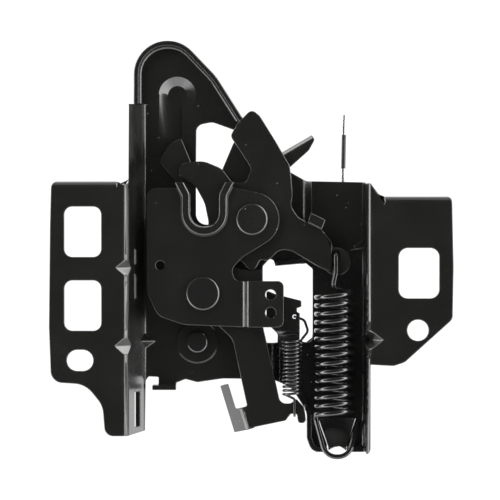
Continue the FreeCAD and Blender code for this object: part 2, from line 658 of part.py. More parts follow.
def cover_plate():
    """Front plate with the collared striker slot, the eye round the fork's pivot and the switch flag."""
    joggle_start = 18.5
    plate = front_plate([
        (COVER_LEFT, 9.0, 5.0), (14.0, 9.6, 0), (FORK_X + 2.0, FORK_Z + EYE_R - 0.1, 0),
        (FORK_X + 6.0, FORK_Z, 0),
        (FORK_X + 7.5, FORK_Z - 11.4, 0), (19.0, -25.7, 5.0), (13.8, -31.5, 4.0), (15.6, FLAG_TOP, 3.0),
        (joggle_start, FLAG_TOP, 0), (joggle_start, FLAG_BOTTOM, 0), (-10.0, -59.2, 8.0),
        (-23.0, -54.8, 8.0),
        (COVER_LEFT, -43.0, 8.0),
    ], COVER_FRONT, COVER_BACK)
    eye = pin(FORK_X, FORK_Z, EYE_R, COVER_FRONT, COVER_BACK)
    flag_front = COVER_FRONT - FLAG_STEP
    flag = plan_prism(section_band([(joggle_start - 3, COVER_FRONT), (joggle_start, COVER_FRONT),
                                    (joggle_start + 4.5, flag_front), (FLAG_RIGHT + 3, flag_front)],
                                    COVER_SHEET),
                      FLAG_BOTTOM, FLAG_TOP)
    flag = flag.common(front_plate([(joggle_start - 2, FLAG_BOTTOM, 0), (FLAG_RIGHT, FLAG_BOTTOM, 3.0),
                                    (FLAG_RIGHT, FLAG_TOP, 3.0), (joggle_start - 2, FLAG_TOP, 0)],
                                   flag_front - 1, COVER_BACK + 1))
    slot = striker_slot_outline()
    collar_front = COVER_FRONT - COLLAR_RISE
    collar = front_plate(grown(slot, COLLAR_WIDTH), collar_front, COVER_BACK)
    collar = collar.cut(front_plate(slot, collar_front - 1, COVER_BACK + 1))
    collar = collar.makeFillet(COLLAR_ROUND, edges_at(collar, collar_front, SLOT_BOTTOM - 20))
    collar = collar.common(box(-40, 40, -40, 40, -40, COLLAR_TOP))
    body = plate.fuse([eye, flag, collar])
    hole_x, hole_z, hole_r = COVER_HOLE
    through = (flag_front - 5, COVER_BACK + 1)
    cutters = [
        front_plate(slot, *through), pin(hole_x, hole_z, hole_r, *through),
        pin(FORK_X, FORK_Z, FORK_PIN_R + PIVOT_GAP, *through),
        pin(PAWL_X, PAWL_Z, PAWL_PIN_R + PIVOT_GAP, *through),
        pin(FLAG_HOLE_X, FLAG_HOLE_Z, FLAG_HOLE_R, *through),
        pin(FLAG_HOLE_X, FLAG_HOLE_Z - FLAG_HOLE_PITCH, FLAG_HOLE_R, *through),
    ]
    return body.cut(cutters).removeSplitter()


# Fork bolt

def fork_outline():
    """Fork's outline about its pivot, but for the hook lobe: jaws, throat, arm, tooth and waist."""
    step_r = TOOTH_R - 0.3
    waist = math.radians(-137)
    step_in = (FORK_WAIST_R * math.cos(waist), FORK_WAIST_R * math.sin(waist))
    step_out = (step_r * math.cos(waist), step_r * math.sin(waist))
    return [
        (-10.9, 41.5, 3.0), (-7.0, 48.2, 6.0), (-0.2, 55.0, 3.0), (4.0, 51.5, 4.0), (11.5, 39.5, 40.0),
        (19.0, 26.5, 8.0), (20.4, 12.0, 12.0), (19.4, 6.5, 5.0), (23.0, 1.0, 5.0), (36.5, -7.0, 4.0),
        (40.0, -12.0, 3.0), (40.0, -27.0, 2.0), (33.5, -24.0, 8.0), (20.0, -16.0, 8.0), (14.0, -15.0, 6.0),
        (8.0, -21.2, 4.0), (4.2, -20.2, 1.5), (1.6, -TOOTH_R, 1.2), (-1.6, -TOOTH_R, 1.2),
        (-5.2, -21.0, 2.0),
        (step_in[0] + 2.6, step_in[1] - 3.6, 6.0), (step_in[0], step_in[1], 0.6),
        (step_out[0], step_out[1], 0.6),
        (-23.8, -9.5, 4.0), (-21.6, -2.0, 6.0), (-23.6, 8.0, 14.0), (-28.5, 17.0, 10.0), (-36.5, 21.6, 1.5),
        (-36.0, 28.2, 4.0), (-24.0, 29.0, 12.0), (-15.0, 25.2, 8.0), (-9.8, 18.2, 4.0), (-3.2, 18.2, 3.0),
        (-0.2, 25.0, 4.0),
    ]


def fork_bolt():
    """The rotating catch, with its thinner hook lobe and the lug bent forward from its arm."""
    body = front_plate(moved(fork_outline(), FORK_X, FORK_Z), FORK_FRONT, FORK_BACK)
    body = body.cut(pin(FORK_X, FORK_Z, FORK_PIN_R + PIVOT_GAP, -20, 20))
    lobe = pin(HOOK_HOLE_X + 0.5, HOOK_HOLE_Z - 3.5, HOOK_LOBE_R, LOBE_FRONT, FORK_BACK)
    neck = front_plate([(60.0, -30.0, 0), (HOOK_HOLE_X + 1.0, HOOK_HOLE_Z - 8.7, 0),
                        (HOOK_HOLE_X + 1.0, HOOK_HOLE_Z + 2.0, 0), (60.0, -15.5, 0)], LOBE_FRONT, FORK_BACK)
    lobe = lobe.fuse(neck).removeSplitter().cut(pin(HOOK_HOLE_X, HOOK_HOLE_Z, HOOK_HOLE_R, -20, 20))
    lug = front_plate([(53.3, -3.2, 0.5), (60.7, -6.8, 0.5), (58.9, -11.4, 0.5), (51.8, -7.8, 0.5)],
                      LUG_FRONT, FORK_BACK)
    root = front_plate([(53.2, -6.9, 0), (58.6, -9.4, 0), (60.3, -17.0, 0), (48.5, -12.5, 0)],
                       FORK_FRONT, FORK_BACK)
    return body.fuse(lobe).fuse(lug.fuse(root)).removeSplitter()


# Safety lever

def lever_outline():
    """Secondary catch: finger on the left, notch round the striker's slot, hub and the hand lever's root."""
    left = WEB_SLOT_X - LEVER_SLOT_R
    right = WEB_SLOT_X + LEVER_SLOT_R
    bottom = WEB_SLOT_BOTTOM + WEB_SLOT_R - LEVER_SLOT_R
    end_r = LEVER_SLOT_R - 0.25
    return [
        (-22.4, 22.2, 1.0), (-17.5, 30.8, 8.0), (-11.5, 34.0, 1.0), (-7.0, 23.0, 4.0), (left, 12.0, 4.0),
        (left, bottom, end_r), (right, bottom, end_r), (8.6, 17.0, 4.0), (14.5, 31.0, 4.0),
        (19.0, 38.0, 5.0),
        (28.0, 38.0, 5.0), (38.0, 23.5, 4.0), (41.5, 22.6, 0), (46.0, 22.6, 0), (43.0, 19.6, 3.0),
        (39.5, 10.0, 8.0),
        (37.5, -12.0, 9.0), (26.0, -22.0, 9.0), (2.0, -24.5, 14.0), (-13.5, -12.0, 10.0), (-13.0, 10.5, 4.0),
    ]


def hand_lever():
    """Hand lever of the safety catch, its upper edge turned back."""
    lean = 59.8
    strip = bent_strip([(0, LEVER_BACK + 5.0), (0, LEVER_FRONT), (14, LEVER_FRONT)], LEVER_SHEET, 19.0,
                       37.6, 26.0, lean)
    outline = [(34.0, 20.0, 0), (37.0, 28.0, 0), (54.2, 38.0, 2.0), (55.4, 33.0, 3.0), (52.6, 27.8, 5.0),
               (43.0, 19.2, 2.0)]
    return strip.common(front_plate(outline, LEVER_FRONT - 1, LEVER_BACK + 8))


def safety_lever():
    """The secondary catch, coaxial with the fork and behind it."""
    body = front_plate(lever_outline(), LEVER_FRONT, LEVER_BACK).fuse(hand_lever())
    leg_hole = pin(FORK_X + SAFETY_COIL_R, SAFETY_LEG_Z, SAFETY_WIRE_R + SEAT_GAP, -20, 20)
    return body.cut([pin(FORK_X, FORK_Z, FORK_PIN_R + PIVOT_GAP, -20, 20), leg_hole]).removeSplitter()


# Pawl

def pawl_outline():
    """Pawl's arm, from the nose down to the foot and the spring horn."""
    return [
        (-4.0, -36.5, 2.0), (8.0, -27.0, 0), (29.4, -27.0, 0), (29.4, -37.2, 1.2), (23.0, -41.5, 3.0),
        (22.5, -51.0, 5.0), (29.3, -59.0, 3.0), (38.2, -98.8, 3.5), (43.5, -98.8, 3.5), (46.0, -96.4, 1.0),
        (50.2, -101.0, 5.0), (51.2, -108.6, 1.8), (NOTCH_X + 1.8, -108.6, 1.5),
        (NOTCH_X + 1.2, NOTCH_Z, 0.8),
        (NOTCH_X - 1.8, NOTCH_Z, 0.8), (40.8, -107.4, 1.5), (22.5, -111.2, 0.8), (20.4, -103.5, 2.0),
        (21.4, -99.5, 2.5), (14.2, -66.5, 8.0), (8.0, -60.6, 6.0), (-6.0, -50.5, 2.0),
    ]


def cable_tab():
    """Tab bent back from the pawl's foot, open at its top for the cable's nipple."""
    lean = -17.0
    foot_x, foot_z = 21.9, -112.0
    thickness = 3.0
    section = [(-7.2, PAWL_FRONT + 10.0), (0, PAWL_FRONT), (9.0, PAWL_FRONT)]
    strip = plan_prism(section_band(section, thickness), 0, 24.6)
    strip = strip.cut(box(-2.7, 12.0, -20, 20, 11.5, 30))
    strip = strip.cut(box(3.5, 12.0, -20, 20, -1, 30))
    strip.rotate(V(0, 0, 0), V(0, 1, 0), lean)
    strip.translate(V(foot_x, 0, foot_z))
    return strip


def pawl():
    """The detent lever; its nose runs just outside the path of the fork's teeth."""
    body = front_plate(pawl_outline(), PAWL_FRONT, PAWL_BACK)
    body = body.fuse([pin(PAWL_X, PAWL_Z, 9.0, PAWL_FRONT, PAWL_BACK), cable_tab()])
    body = body.cut([pin(FORK_X, FORK_Z, TOOTH_R + TOOTH_GAP, -20, 20),
                     pin(PAWL_X, PAWL_Z, PAWL_PIN_R + PIVOT_GAP, -20, 20)])
    return body.removeSplitter()


# Rivets, washers and bushes

def headed_rivet(x, z, pin_r, head_r, head_back, rear_r, rear_front):
    """Rivet along Y with a flat front head, its edge eased, and a formed rear head."""
    profile = [V(0, head_back - HEAD_RISE, 0), V(head_r - 0.9, head_back - HEAD_RISE, 0),
               V(head_r - 0.25, head_back - HEAD_RISE + 0.35, 0), V(head_r, head_back - HEAD_RISE + 1.0, 0),
               V(head_r, head_back, 0), V(pin_r, head_back, 0),
               V(pin_r, rear_front, 0), V(rear_r, rear_front, 0),
               V(rear_r, rear_front + REAR_HEAD_RISE * 0.5, 0),
               V(rear_r * 0.75, rear_front + REAR_HEAD_RISE, 0), V(0, rear_front + REAR_HEAD_RISE, 0),
               V(0, head_back - HEAD_RISE, 0)]
    body = Part.Face(Part.makePolygon(profile)).revolve(V(0, 0, 0), V(0, 1, 0), 360)
    body.translate(V(x, 0, z))
    return body


def pivot_parts():
    """Both pivots with their washers and bushes."""
    fork_bore = FORK_PIN_R + PIVOT_GAP
    pawl_bore = PAWL_PIN_R + PIVOT_GAP
    return {
        "fork_pivot_rivet": headed_rivet(FORK_X, FORK_Z, FORK_PIN_R, FORK_HEAD_R, COVER_FRONT,
                                         REAR_HEAD_R, WEB_BACK),
        "pawl_pivot_rivet": headed_rivet(PAWL_X, PAWL_Z, PAWL_PIN_R, PAWL_HEAD_R, COVER_FRONT,
                                         REAR_HEAD_R, WEB_BACK),
        "fork_front_washer": ring(FORK_X, FORK_Z, fork_bore, WASHER_R, COVER_BACK, FORK_FRONT - FACE_GAP),
        "fork_rear_washer": ring(FORK_X, FORK_Z, fork_bore, WASHER_R, FORK_BACK + FACE_GAP,
                                 LEVER_FRONT - FACE_GAP),
        "lever_bush": ring(FORK_X, FORK_Z, fork_bore, BUSH_R, LEVER_BACK + FACE_GAP, WEB_FRONT),
        "pawl_front_washer": ring(PAWL_X, PAWL_Z, pawl_bore, PAWL_BUSH_R, COVER_BACK, PAWL_FRONT - FACE_GAP),
        "pawl_rear_bush": ring(PAWL_X, PAWL_Z, pawl_bore, PAWL_BUSH_R, PAWL_BACK + FACE_GAP, WEB_FRONT),
    }


def lower_rivet():
    """Round-headed rivet in the boss below the cover."""
    return headed_rivet(BOSS_X, BOSS_Z, BOSS_PIN_R, BOSS_HEAD_R, WEB_FRONT - BOSS_RISE, BOSS_HEAD_R,
                        WEB_BACK)


# Springs

def pop_up_spring():
    """Large extension spring: lower loop under the tongue, coil, and upper hook through the fork's hole."""
    x, y = SPRING_X, SPRING_Y
    loop_x = x + TONGUE_SHIFT
    left = V(x - SPRING_COIL_R, y, SPRING_BOTTOM)
    leg_top = left.z - 3.4
    loop_side = loop_x - left.x - LOOP_LEAN * (leg_top - LOOP_FLOOR)
    free_end = V(loop_x + loop_side + LOOP_LEAN * (leg_top - 1.0 - LOOP_FLOOR), LOOP_Y, leg_top - 1.0)
    lower = bent_route([
        (free_end, 0), (V(loop_x + loop_side, LOOP_Y, LOOP_FLOOR), LOOP_R),
        (V(loop_x - loop_side, LOOP_Y, LOOP_FLOOR), LOOP_R),
        (V(left.x, LOOP_Y, leg_top), 6.0), (V(left.x, LOOP_Y, left.z), LOOP_Y - y - 0.7), (left, 0),
    ])
    rise = (SPRING_TOP - SPRING_BOTTOM) / SPRING_HALF_TURNS
    coil, top = coil_route(left, V(2 * SPRING_COIL_R, 0, 0), V(0, -1, 0), V(0, 0, rise), SPRING_HALF_TURNS)
    hook_y = FORK_FRONT - SPRING_WIRE_R - SEAT_GAP
    behind = FORK_BACK + SPRING_WIRE_R + SEAT_GAP * 2
    upper = bent_route([
        (top, 0), (top + V(0, 5.0, 0), 2.2), (V(x - 0.7, hook_y + 0.5, top.z + 3.2), 2.6),
        (V(HOOK_HOLE_X, hook_y, HOOK_HOLE_Z - 9.0), 3.0), (V(HOOK_HOLE_X, hook_y, HOOK_HOLE_Z), 1.45),
        (V(HOOK_HOLE_X, behind, HOOK_HOLE_Z), 1.45), (V(HOOK_HOLE_X, behind, HOOK_HOLE_Z - 4.0), 0),
    ])
    return round_wire(lower + coil + upper, SPRING_WIRE_R, 8, 16)


def pawl_return_spring():
    """Small extension spring between the anchor tab's hole and the notch in the pawl's foot."""
    x, y = RETURN_X, RETURN_Y
    front = PAWL_FRONT - RETURN_WIRE_R - SEAT_GAP
    behind = PAWL_BACK + RETURN_WIRE_R + SEAT_GAP
    under = NOTCH_Z - RETURN_WIRE_R - SEAT_GAP
    left = V(x - RETURN_COIL_R, y, RETURN_BOTTOM)
    lower = bent_route([
        (V(NOTCH_X, behind, NOTCH_Z + 1.6), 0), (V(NOTCH_X, behind, under), 1.0),
        (V(NOTCH_X, front, under), 1.0),
        (V(NOTCH_X, front, RETURN_BOTTOM - 2.5), 1.2), (left + V(0, 3.4, 0), 1.1), (left, 0),
    ])
    rise = (RETURN_TOP - RETURN_BOTTOM) / RETURN_HALF_TURNS
    coil, top = coil_route(left, V(2 * RETURN_COIL_R, 0, 0), V(0, -1, 0), V(0, 0, rise), RETURN_HALF_TURNS)
    anchor_back = ANCHOR_FRONT + SHEET + RETURN_WIRE_R + SEAT_GAP
    upper = bent_route([
        (top, 0), (top + V(0, 2.0, 0), 1.1), (top + V(3.3, 3.6, 4.3), 2.2), (top + V(1.4, 5.6, 9.8), 2.2),
        (V(ANCHOR_X, anchor_back + 1.2, ANCHOR_Z), 1.1), (V(ANCHOR_X, ANCHOR_FRONT - 1.2, ANCHOR_Z), 0),
    ])
    return round_wire(lower + coil + upper, RETURN_WIRE_R, 6, 12)


def safety_return_spring():
    """Wire spring round the lever's bush, one leg hooked into the web and one into the lever."""
    y = WEB_FRONT - SAFETY_WIRE_R - SEAT_GAP
    left = V(FORK_X - SAFETY_COIL_R, y, FORK_Z)
    coil, end = coil_route(left, V(2 * SAFETY_COIL_R, 0, 0), V(0, 0, -1), V(0, -SAFETY_PITCH / 2, 0), 3)
    z = SAFETY_LEG_Z
    web_leg = bent_route([(V(left.x, WEB_BACK + 0.6, z), 0), (V(left.x, y, z), 1.0), (left, 0)])
    lever_leg = bent_route([(end, 0), (V(end.x, end.y, z), 1.0), (V(end.x, LEVER_FRONT + 0.3, z), 0)])
    return round_wire(web_leg + coil + lever_leg, SAFETY_WIRE_R, 6, 14)


# Upright rod

def rod_ends():
    """Lower and upper end of the rod's centre line, behind the channel."""
    y = CHANNEL_BACK + ROD_R + 0.02
    return V(ROD_X, y, ROD_BOTTOM), V(ROD_X + ROD_LEAN, y, ROD_TOP)


def upright_rod():
    """Thin rod welded up the back of the channel."""
    low, high = rod_ends()
    return Part.makeCylinder(ROD_R, (high - low).Length, low, high - low)


def rod_sleeve():
    """Dark sleeve on the rod above the channel."""
    low, high = rod_ends()
    along = (high - low).normalize()
    start = low + along * ((SLEEVE_BOTTOM - ROD_BOTTOM) / along.z)
    length = (SLEEVE_TOP - SLEEVE_BOTTOM) / along.z
    tube = Part.makeCylinder(SLEEVE_R, length, start, along)
    return tube.cut(Part.makeCylinder(ROD_R + 0.02, length + 2, start - along, along))


def main():
    """Build every piece and write one file for each."""
    os.makedirs("parts", exist_ok=True)
    nodes = {
        "bracket": bracket(),
        "cover_plate": cover_plate(),
        "fork_bolt": fork_bolt(),
        "safety_lever": safety_lever(),
        "pawl": pawl(),
        "lower_rivet": lower_rivet(),
        "pop_up_spring": pop_up_spring(),
        "pawl_return_spring": pawl_return_spring(),
        "safety_return_spring": safety_return_spring(),
        "upright_rod": upright_rod(),
        "rod_sleeve": rod_sleeve(),
    }
    nodes.update(pivot_parts())
    for name, shape in nodes.items():
        shape.exportStep("parts/" + name + ".step")
        print(name, len(shape.Solids), round(shape.Volume, 1), shape.isValid())


main()
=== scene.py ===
import math

import bmesh
import bpy
import numpy as np
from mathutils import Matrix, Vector
from mathutils.bvhtree import BVHTree


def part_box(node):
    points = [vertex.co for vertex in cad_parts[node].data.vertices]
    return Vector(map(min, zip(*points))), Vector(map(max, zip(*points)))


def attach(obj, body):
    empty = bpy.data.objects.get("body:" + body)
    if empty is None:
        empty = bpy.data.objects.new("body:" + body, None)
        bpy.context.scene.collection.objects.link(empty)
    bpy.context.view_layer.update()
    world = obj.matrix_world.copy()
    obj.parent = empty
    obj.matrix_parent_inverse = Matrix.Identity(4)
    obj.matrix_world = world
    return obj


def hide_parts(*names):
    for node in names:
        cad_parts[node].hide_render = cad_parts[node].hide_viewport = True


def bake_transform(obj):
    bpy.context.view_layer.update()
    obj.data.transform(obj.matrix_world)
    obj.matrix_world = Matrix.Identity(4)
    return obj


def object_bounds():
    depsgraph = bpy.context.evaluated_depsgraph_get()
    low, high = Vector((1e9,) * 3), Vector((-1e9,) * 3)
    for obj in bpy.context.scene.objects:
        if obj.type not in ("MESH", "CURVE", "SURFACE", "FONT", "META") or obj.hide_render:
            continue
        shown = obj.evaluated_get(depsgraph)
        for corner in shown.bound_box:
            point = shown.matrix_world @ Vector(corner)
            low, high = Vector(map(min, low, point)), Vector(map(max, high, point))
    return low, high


# A bonnet latch in black enamel, seen from the front on white. Shapes are given in millimetres, which MM turns
# to metres where they reach Blender. Floor, lamps and camera are placed in metres.

MM = 0.001

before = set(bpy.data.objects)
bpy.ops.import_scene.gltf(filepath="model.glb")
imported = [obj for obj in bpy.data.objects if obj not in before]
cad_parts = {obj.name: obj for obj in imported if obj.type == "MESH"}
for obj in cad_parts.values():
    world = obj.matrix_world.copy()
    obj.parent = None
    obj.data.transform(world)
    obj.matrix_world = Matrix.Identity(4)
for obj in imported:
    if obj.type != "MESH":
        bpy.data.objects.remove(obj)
cad_box = [list(corner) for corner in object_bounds()]


# Materials

# Spacing of the patterns in the finishes
DUST_CELL = 4.0
SMEAR = 22.0
ORANGE_PEEL = 1.5
DRAWN_STREAK = 0.3
SLEEVE_GRAIN = 0.4

# Radius of a dust speck and of its faded rim, as shares of a cell
SPECK_R, SPECK_RIM_R = 0.035, 0.06
# How much glossier and duller than its roughness the enamel gets, from the smears' low values to the high ones
GLOSSIER, DULLER = 0.05, 0.08
SMEAR_LOW, SMEAR_HIGH = 0.35, 0.7
# The same for the drawn rod, and how much its streaks are stretched along it
ROD_GLOSSIER, ROD_DULLER = 0.08, 0.1
STREAK_STRETCH = 0.05


def linear(hex_colour):
    """Linear red, green, blue and alpha of an sRGB hex value: ((c + 0.055) / 1.055) to the power 2.4, or
    c / 12.92 for the darkest values."""
    channels = [int(hex_colour[start:start + 2], 16) / 255 for start in (1, 3, 5)]
    return [c / 12.92 if c <= 0.04045 else ((c + 0.055) / 1.055) ** 2.4 for c in channels] + [1.0]


def add_node(tree, kind, inputs=None, **settings):
    """Adds a node with its settings; an input given as a socket is linked, any other is set."""
    node = tree.nodes.new(kind)
    for name, value in settings.items():
        setattr(node, name, value)
    for name, value in (inputs or {}).items():
        if isinstance(value, bpy.types.NodeSocket):
            tree.links.new(value, node.inputs[name])
        else:
            node.inputs[name].default_value = value
    return node


def new_material(name):
    """Empty material with its shader and the object's own coordinates."""
    material = bpy.data.materials.new(name)
    material.use_nodes = True
    tree = material.node_tree
    tree.nodes.clear()
    place = add_node(tree, "ShaderNodeTexCoord").outputs["Object"]
    shader = add_node(tree, "ShaderNodeBsdfPrincipled")
    add_node(tree, "ShaderNodeOutputMaterial", {"Surface": shader.outputs["BSDF"]})
    return material, tree, place, shader


def black_enamel(name, hex_colour, roughness, dust):
    """Dip-coated black enamel on steel: a deep gloss with fine orange peel, soft smears and, where dust is above
    0, pale specks in some of the cells, in all of them at 1."""
    material, tree, place, shader = new_material(name)
    # Dust: at most one speck in a cell, drawn about 0.3 mm across, coarser than real dust, so that it shows
    cells = add_node(tree, "ShaderNodeTexVoronoi", {"Vector": place, "Scale": 1 / (DUST_CELL * MM)})
    close = add_node(tree, "ShaderNodeMapRange", {
        "Value": cells.outputs["Distance"], "From Min": SPECK_R, "From Max": SPECK_RIM_R,
        "To Min": 1.0, "To Max": 0.0})
    chosen = add_node(tree, "ShaderNodeMath", {0: cells.outputs["Color"], 1: dust}, operation="LESS_THAN")
    speck = add_node(tree, "ShaderNodeMath", {0: close.outputs["Result"], 1: chosen.outputs[0]},
                     operation="MULTIPLY")
    # Smears: broad patches where handling has dulled the gloss
    smear = add_node(tree, "ShaderNodeTexNoise", {"Vector": place, "Scale": 1 / (SMEAR * MM), "Detail": 4.0})
    tint = add_node(tree, "ShaderNodeMix", {
        "Factor": smear.outputs["Fac"], 6: linear(hex_colour), 7: linear("#1b1b1a")}, data_type="RGBA")
    colour = add_node(tree, "ShaderNodeMix", {
        "Factor": speck.outputs[0], 6: tint.outputs[2], 7: linear("#9a9a98")}, data_type="RGBA")
    dulled = add_node(tree, "ShaderNodeMapRange", {
        "Value": smear.outputs["Fac"], "From Min": SMEAR_LOW, "From Max": SMEAR_HIGH,
        "To Min": roughness - GLOSSIER, "To Max": roughness + DULLER})
    # Orange peel: the ripples of a coat that flowed before it was baked
    peel = add_node(tree, "ShaderNodeTexNoise", {
        "Vector": place, "Scale": 1 / (ORANGE_PEEL * MM), "Detail": 2.0})
    bump = add_node(tree, "ShaderNodeBump", {
        "Height": peel.outputs["Fac"], "Strength": 0.12, "Distance": 0.1 * MM})
    tree.links.new(colour.outputs[2], shader.inputs["Base Color"])
    tree.links.new(dulled.outputs["Result"], shader.inputs["Roughness"])
    tree.links.new(bump.outputs["Normal"], shader.inputs["Normal"])
    shader.inputs["IOR"].default_value = 1.5
    return material


def drawn_steel(name, hex_colour, roughness):
    """Bright drawn steel rod: metal with fine streaks along it, left by the die."""
    material, tree, place, shader = new_material(name)
    stretched = add_node(tree, "ShaderNodeMapping", {"Vector": place, "Scale": (1.0, 1.0, STREAK_STRETCH)})
    streaks = add_node(tree, "ShaderNodeTexNoise", {
        "Vector": stretched.outputs["Vector"], "Scale": 1 / (DRAWN_STREAK * MM)})
    shade = add_node(tree, "ShaderNodeMapRange", {
        "Value": streaks.outputs["Fac"], "To Min": roughness - ROD_GLOSSIER, "To Max": roughness + ROD_DULLER})
    tree.links.new(shade.outputs["Result"], shader.inputs["Roughness"])
    shader.inputs["Base Color"].default_value = linear(hex_colour)
    shader.inputs["Metallic"].default_value = 1.0
    return material


def moulded_sleeve(name, hex_colour):
    """Extruded plastic sleeve: matt, very slightly grainy."""
    material, tree, place, shader = new_material(name)
    grain = add_node(tree, "ShaderNodeTexNoise", {"Vector": place, "Scale": 1 / (SLEEVE_GRAIN * MM)})
    bump = add_node(tree, "ShaderNodeBump", {
        "Height": grain.outputs["Fac"], "Strength": 0.2, "Distance": 0.05 * MM})
    tree.links.new(bump.outputs["Normal"], shader.inputs["Normal"])
    shader.inputs["Base Color"].default_value = linear(hex_colour)
    shader.inputs["Roughness"].default_value = 0.55
    return material


enamel = black_enamel("enamel_on_stamped_steel", "#161615", 0.21, 0.45)
rivet_enamel = black_enamel("enamel_on_rivet_heads", "#161616", 0.22, 0.15)
spring_enamel = black_enamel("enamel_on_spring_wire", "#151516", 0.16, 0.0)
rod_steel = drawn_steel("drawn_rod_steel", "#8d8d8f", 0.35)
sleeve_plastic = moulded_sleeve("matt_black_sleeve", "#161618")


# Stamped and headed pieces: the part's own shapes with rounded edges

# Angles between two faces: flat up to the first, creased from the second on, rounded from the third on
FLAT, CREASE, BEVELLED = math.radians(0.5), math.radians(17), math.radians(35)
# Points nearer than the first are merged, and edges shorter than the second are closed up after the rounding
SAME_POINT, NO_LENGTH = 0.002, 0.005
BEVEL_STEPS = 3
# A point that the rounding moved off the sheet by more than this share of its width goes back onto it
SLID = 0.4
# An edge that passes farther than this from the sheet is cut up and laid back onto it, in this many rounds
STRAY, STRAY_CUTS, STRAY_ROUNDS = 0.22, 3, 3
ALONG_EDGE = (0.25, 0.5, 0.75)

# The flag's joggle: where its S begins and ends, how many planes cut the sheet there, and the slope it replaces
JOGGLE_LEFT, JOGGLE_RIGHT, JOGGLE_CUTS = 17.9, 24.1, 19
SLOPE_LEFT, SLOPE_WIDTH = 18.5, 4.5
COVER_FRONT, FLAG_FRONT = -5.75, -9.25
# The flag's top and foot, a line left of it, and how far past these limits a face or a point still counts
FLAG_TOP, FLAG_BOTTOM, FLAG_SIDE = -37.2, -60.3, 10.0
FACE_SLACK, POINT_SLACK = 0.1, 0.01


def pressed_joggle(sheet):
    """Presses the flag's plain slope into an S: depth a + (b - a) (6 t^5 - 15 t^4 + 10 t^3), with t from 0 to 1
    across the joggle, and the back of the sheet moved by as much."""
    for cut in np.linspace(JOGGLE_LEFT, JOGGLE_RIGHT, JOGGLE_CUTS):
        near = [face for face in sheet.faces
                if face.calc_center_median().x > FLAG_SIDE * MM
                and FLAG_BOTTOM - FACE_SLACK < face.calc_center_median().z / MM < FLAG_TOP + FACE_SLACK]
        edges = [edge for face in near for edge in face.edges]
        points = [point for face in near for point in face.verts]
        bmesh.ops.bisect_plane(sheet, geom=list(dict.fromkeys(near + edges + points)),
                               plane_co=(cut * MM, 0, 0), plane_no=(1, 0, 0))
    for point in sheet.verts:
        x, z = point.co.x / MM, point.co.z / MM
        if JOGGLE_LEFT - POINT_SLACK < x < JOGGLE_RIGHT + POINT_SLACK and z < FLAG_TOP + FACE_SLACK:
            t = min(max((x - JOGGLE_LEFT) / (JOGGLE_RIGHT - JOGGLE_LEFT), 0), 1)
            plain = min(max((x - SLOPE_LEFT) / SLOPE_WIDTH, 0), 1)
            eased = t ** 3 * (6 * t * t - 15 * t + 10)
            point.co.y += (eased - plain) * (FLAG_FRONT - COVER_FRONT) * MM


def split_many_sided(sheet):
    """Turns the faces with more than four corners to triangles."""
    bmesh.ops.triangulate(sheet, faces=[face for face in sheet.faces if len(face.verts) > 4])


def round_edges(sheet, width, lowest, highest):
    """Rounds the sheet's sharp edges by that many millimetres. Where crowded corners make the rounding slide off,
    a point p goes to the point of the plain sheet nearest to p, and every point stays in the box from lowest to
    highest."""
    plain = BVHTree.FromBMesh(sheet)
    for edge in sheet.edges:
        edge.smooth = not CREASE < edge.calc_face_angle(0) < BEVELLED
    sharp = [edge for edge in sheet.edges if edge.calc_face_angle(0) >= BEVELLED]
    bmesh.ops.bevel(sheet, geom=sharp, offset=width * MM, offset_type="OFFSET", segments=BEVEL_STEPS,
                    profile=0.5, affect="EDGES", clamp_overlap=False)
    split_many_sided(sheet)
    for point in sheet.verts:
        nearest, _, _, distance = plain.find_nearest(point.co)
        if distance > SLID * width * MM:
            point.co = nearest
        point.co = [min(max(c, low), high) for c, low, high in zip(point.co, lowest, highest)]
    for _ in range(STRAY_ROUNDS):
        strays = [edge for edge in sheet.edges
                  if any(plain.find_nearest(edge.verts[0].co.lerp(edge.verts[1].co, share))[3] > STRAY * MM
                         for share in ALONG_EDGE)]
        added = bmesh.ops.subdivide_edges(sheet, edges=strays, cuts=STRAY_CUTS)["geom_inner"]
        for point in (part for part in added if isinstance(part, bmesh.types.BMVert)):
            point.co = plain.find_nearest(point.co)[0]
        split_many_sided(sheet)
    bmesh.ops.dissolve_degenerate(sheet, dist=NO_LENGTH * MM, edges=sheet.edges)


def coated(node, body, material, width, reshape=None):
    """Enamelled piece in place of a node: its mesh, merged and freed of flat seams, with its edges rounded by a
    width in millimetres. reshape changes the sheet before that."""
    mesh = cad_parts[node].data.copy()
    mesh.name = node + "_coated"
    sheet = bmesh.new()
    sheet.from_mesh(mesh)
    bmesh.ops.remove_doubles(sheet, verts=sheet.verts, dist=SAME_POINT * MM)
    bmesh.ops.dissolve_limit(sheet, angle_limit=FLAT, verts=sheet.verts, edges=sheet.edges)
    if reshape:
        reshape(sheet)
    round_edges(sheet, width, *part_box(node))
    for face in sheet.faces:
        face.smooth = True
    sheet.to_mesh(mesh)
    sheet.free()
    mesh.validate()
    mesh.materials.clear()
    mesh.materials.append(material)
    piece = bpy.data.objects.new(node + "_coated", mesh)
    bpy.context.scene.collection.objects.link(piece)
    flat_faces = piece.modifiers.new("flat_faces", "WEIGHTED_NORMAL")
    flat_faces.weight = 100
    flat_faces.keep_sharp = True
    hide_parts(node)
    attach(piece, body)


coated("bracket", "frame", enamel, 0.5)
coated("cover_plate", "frame", enamel, 0.4, pressed_joggle)
coated("fork_bolt", "fork", enamel, 0.5)
coated("safety_lever", "catch", enamel, 0.45)
coated("pawl", "detent", enamel, 0.45)
for head in ("lower_rivet", "fork_pivot_rivet", "pawl_pivot_rivet"):
    coated(head, "frame", rivet_enamel, 0.3)


# Springs

ARC_STEPS = 8
# Points of a wire's path closer than this are one point
SAME_PLACE = 1e-4
# A direction that none of the paths starts along
ASLANT = (0.3, 0.4, 0.8)

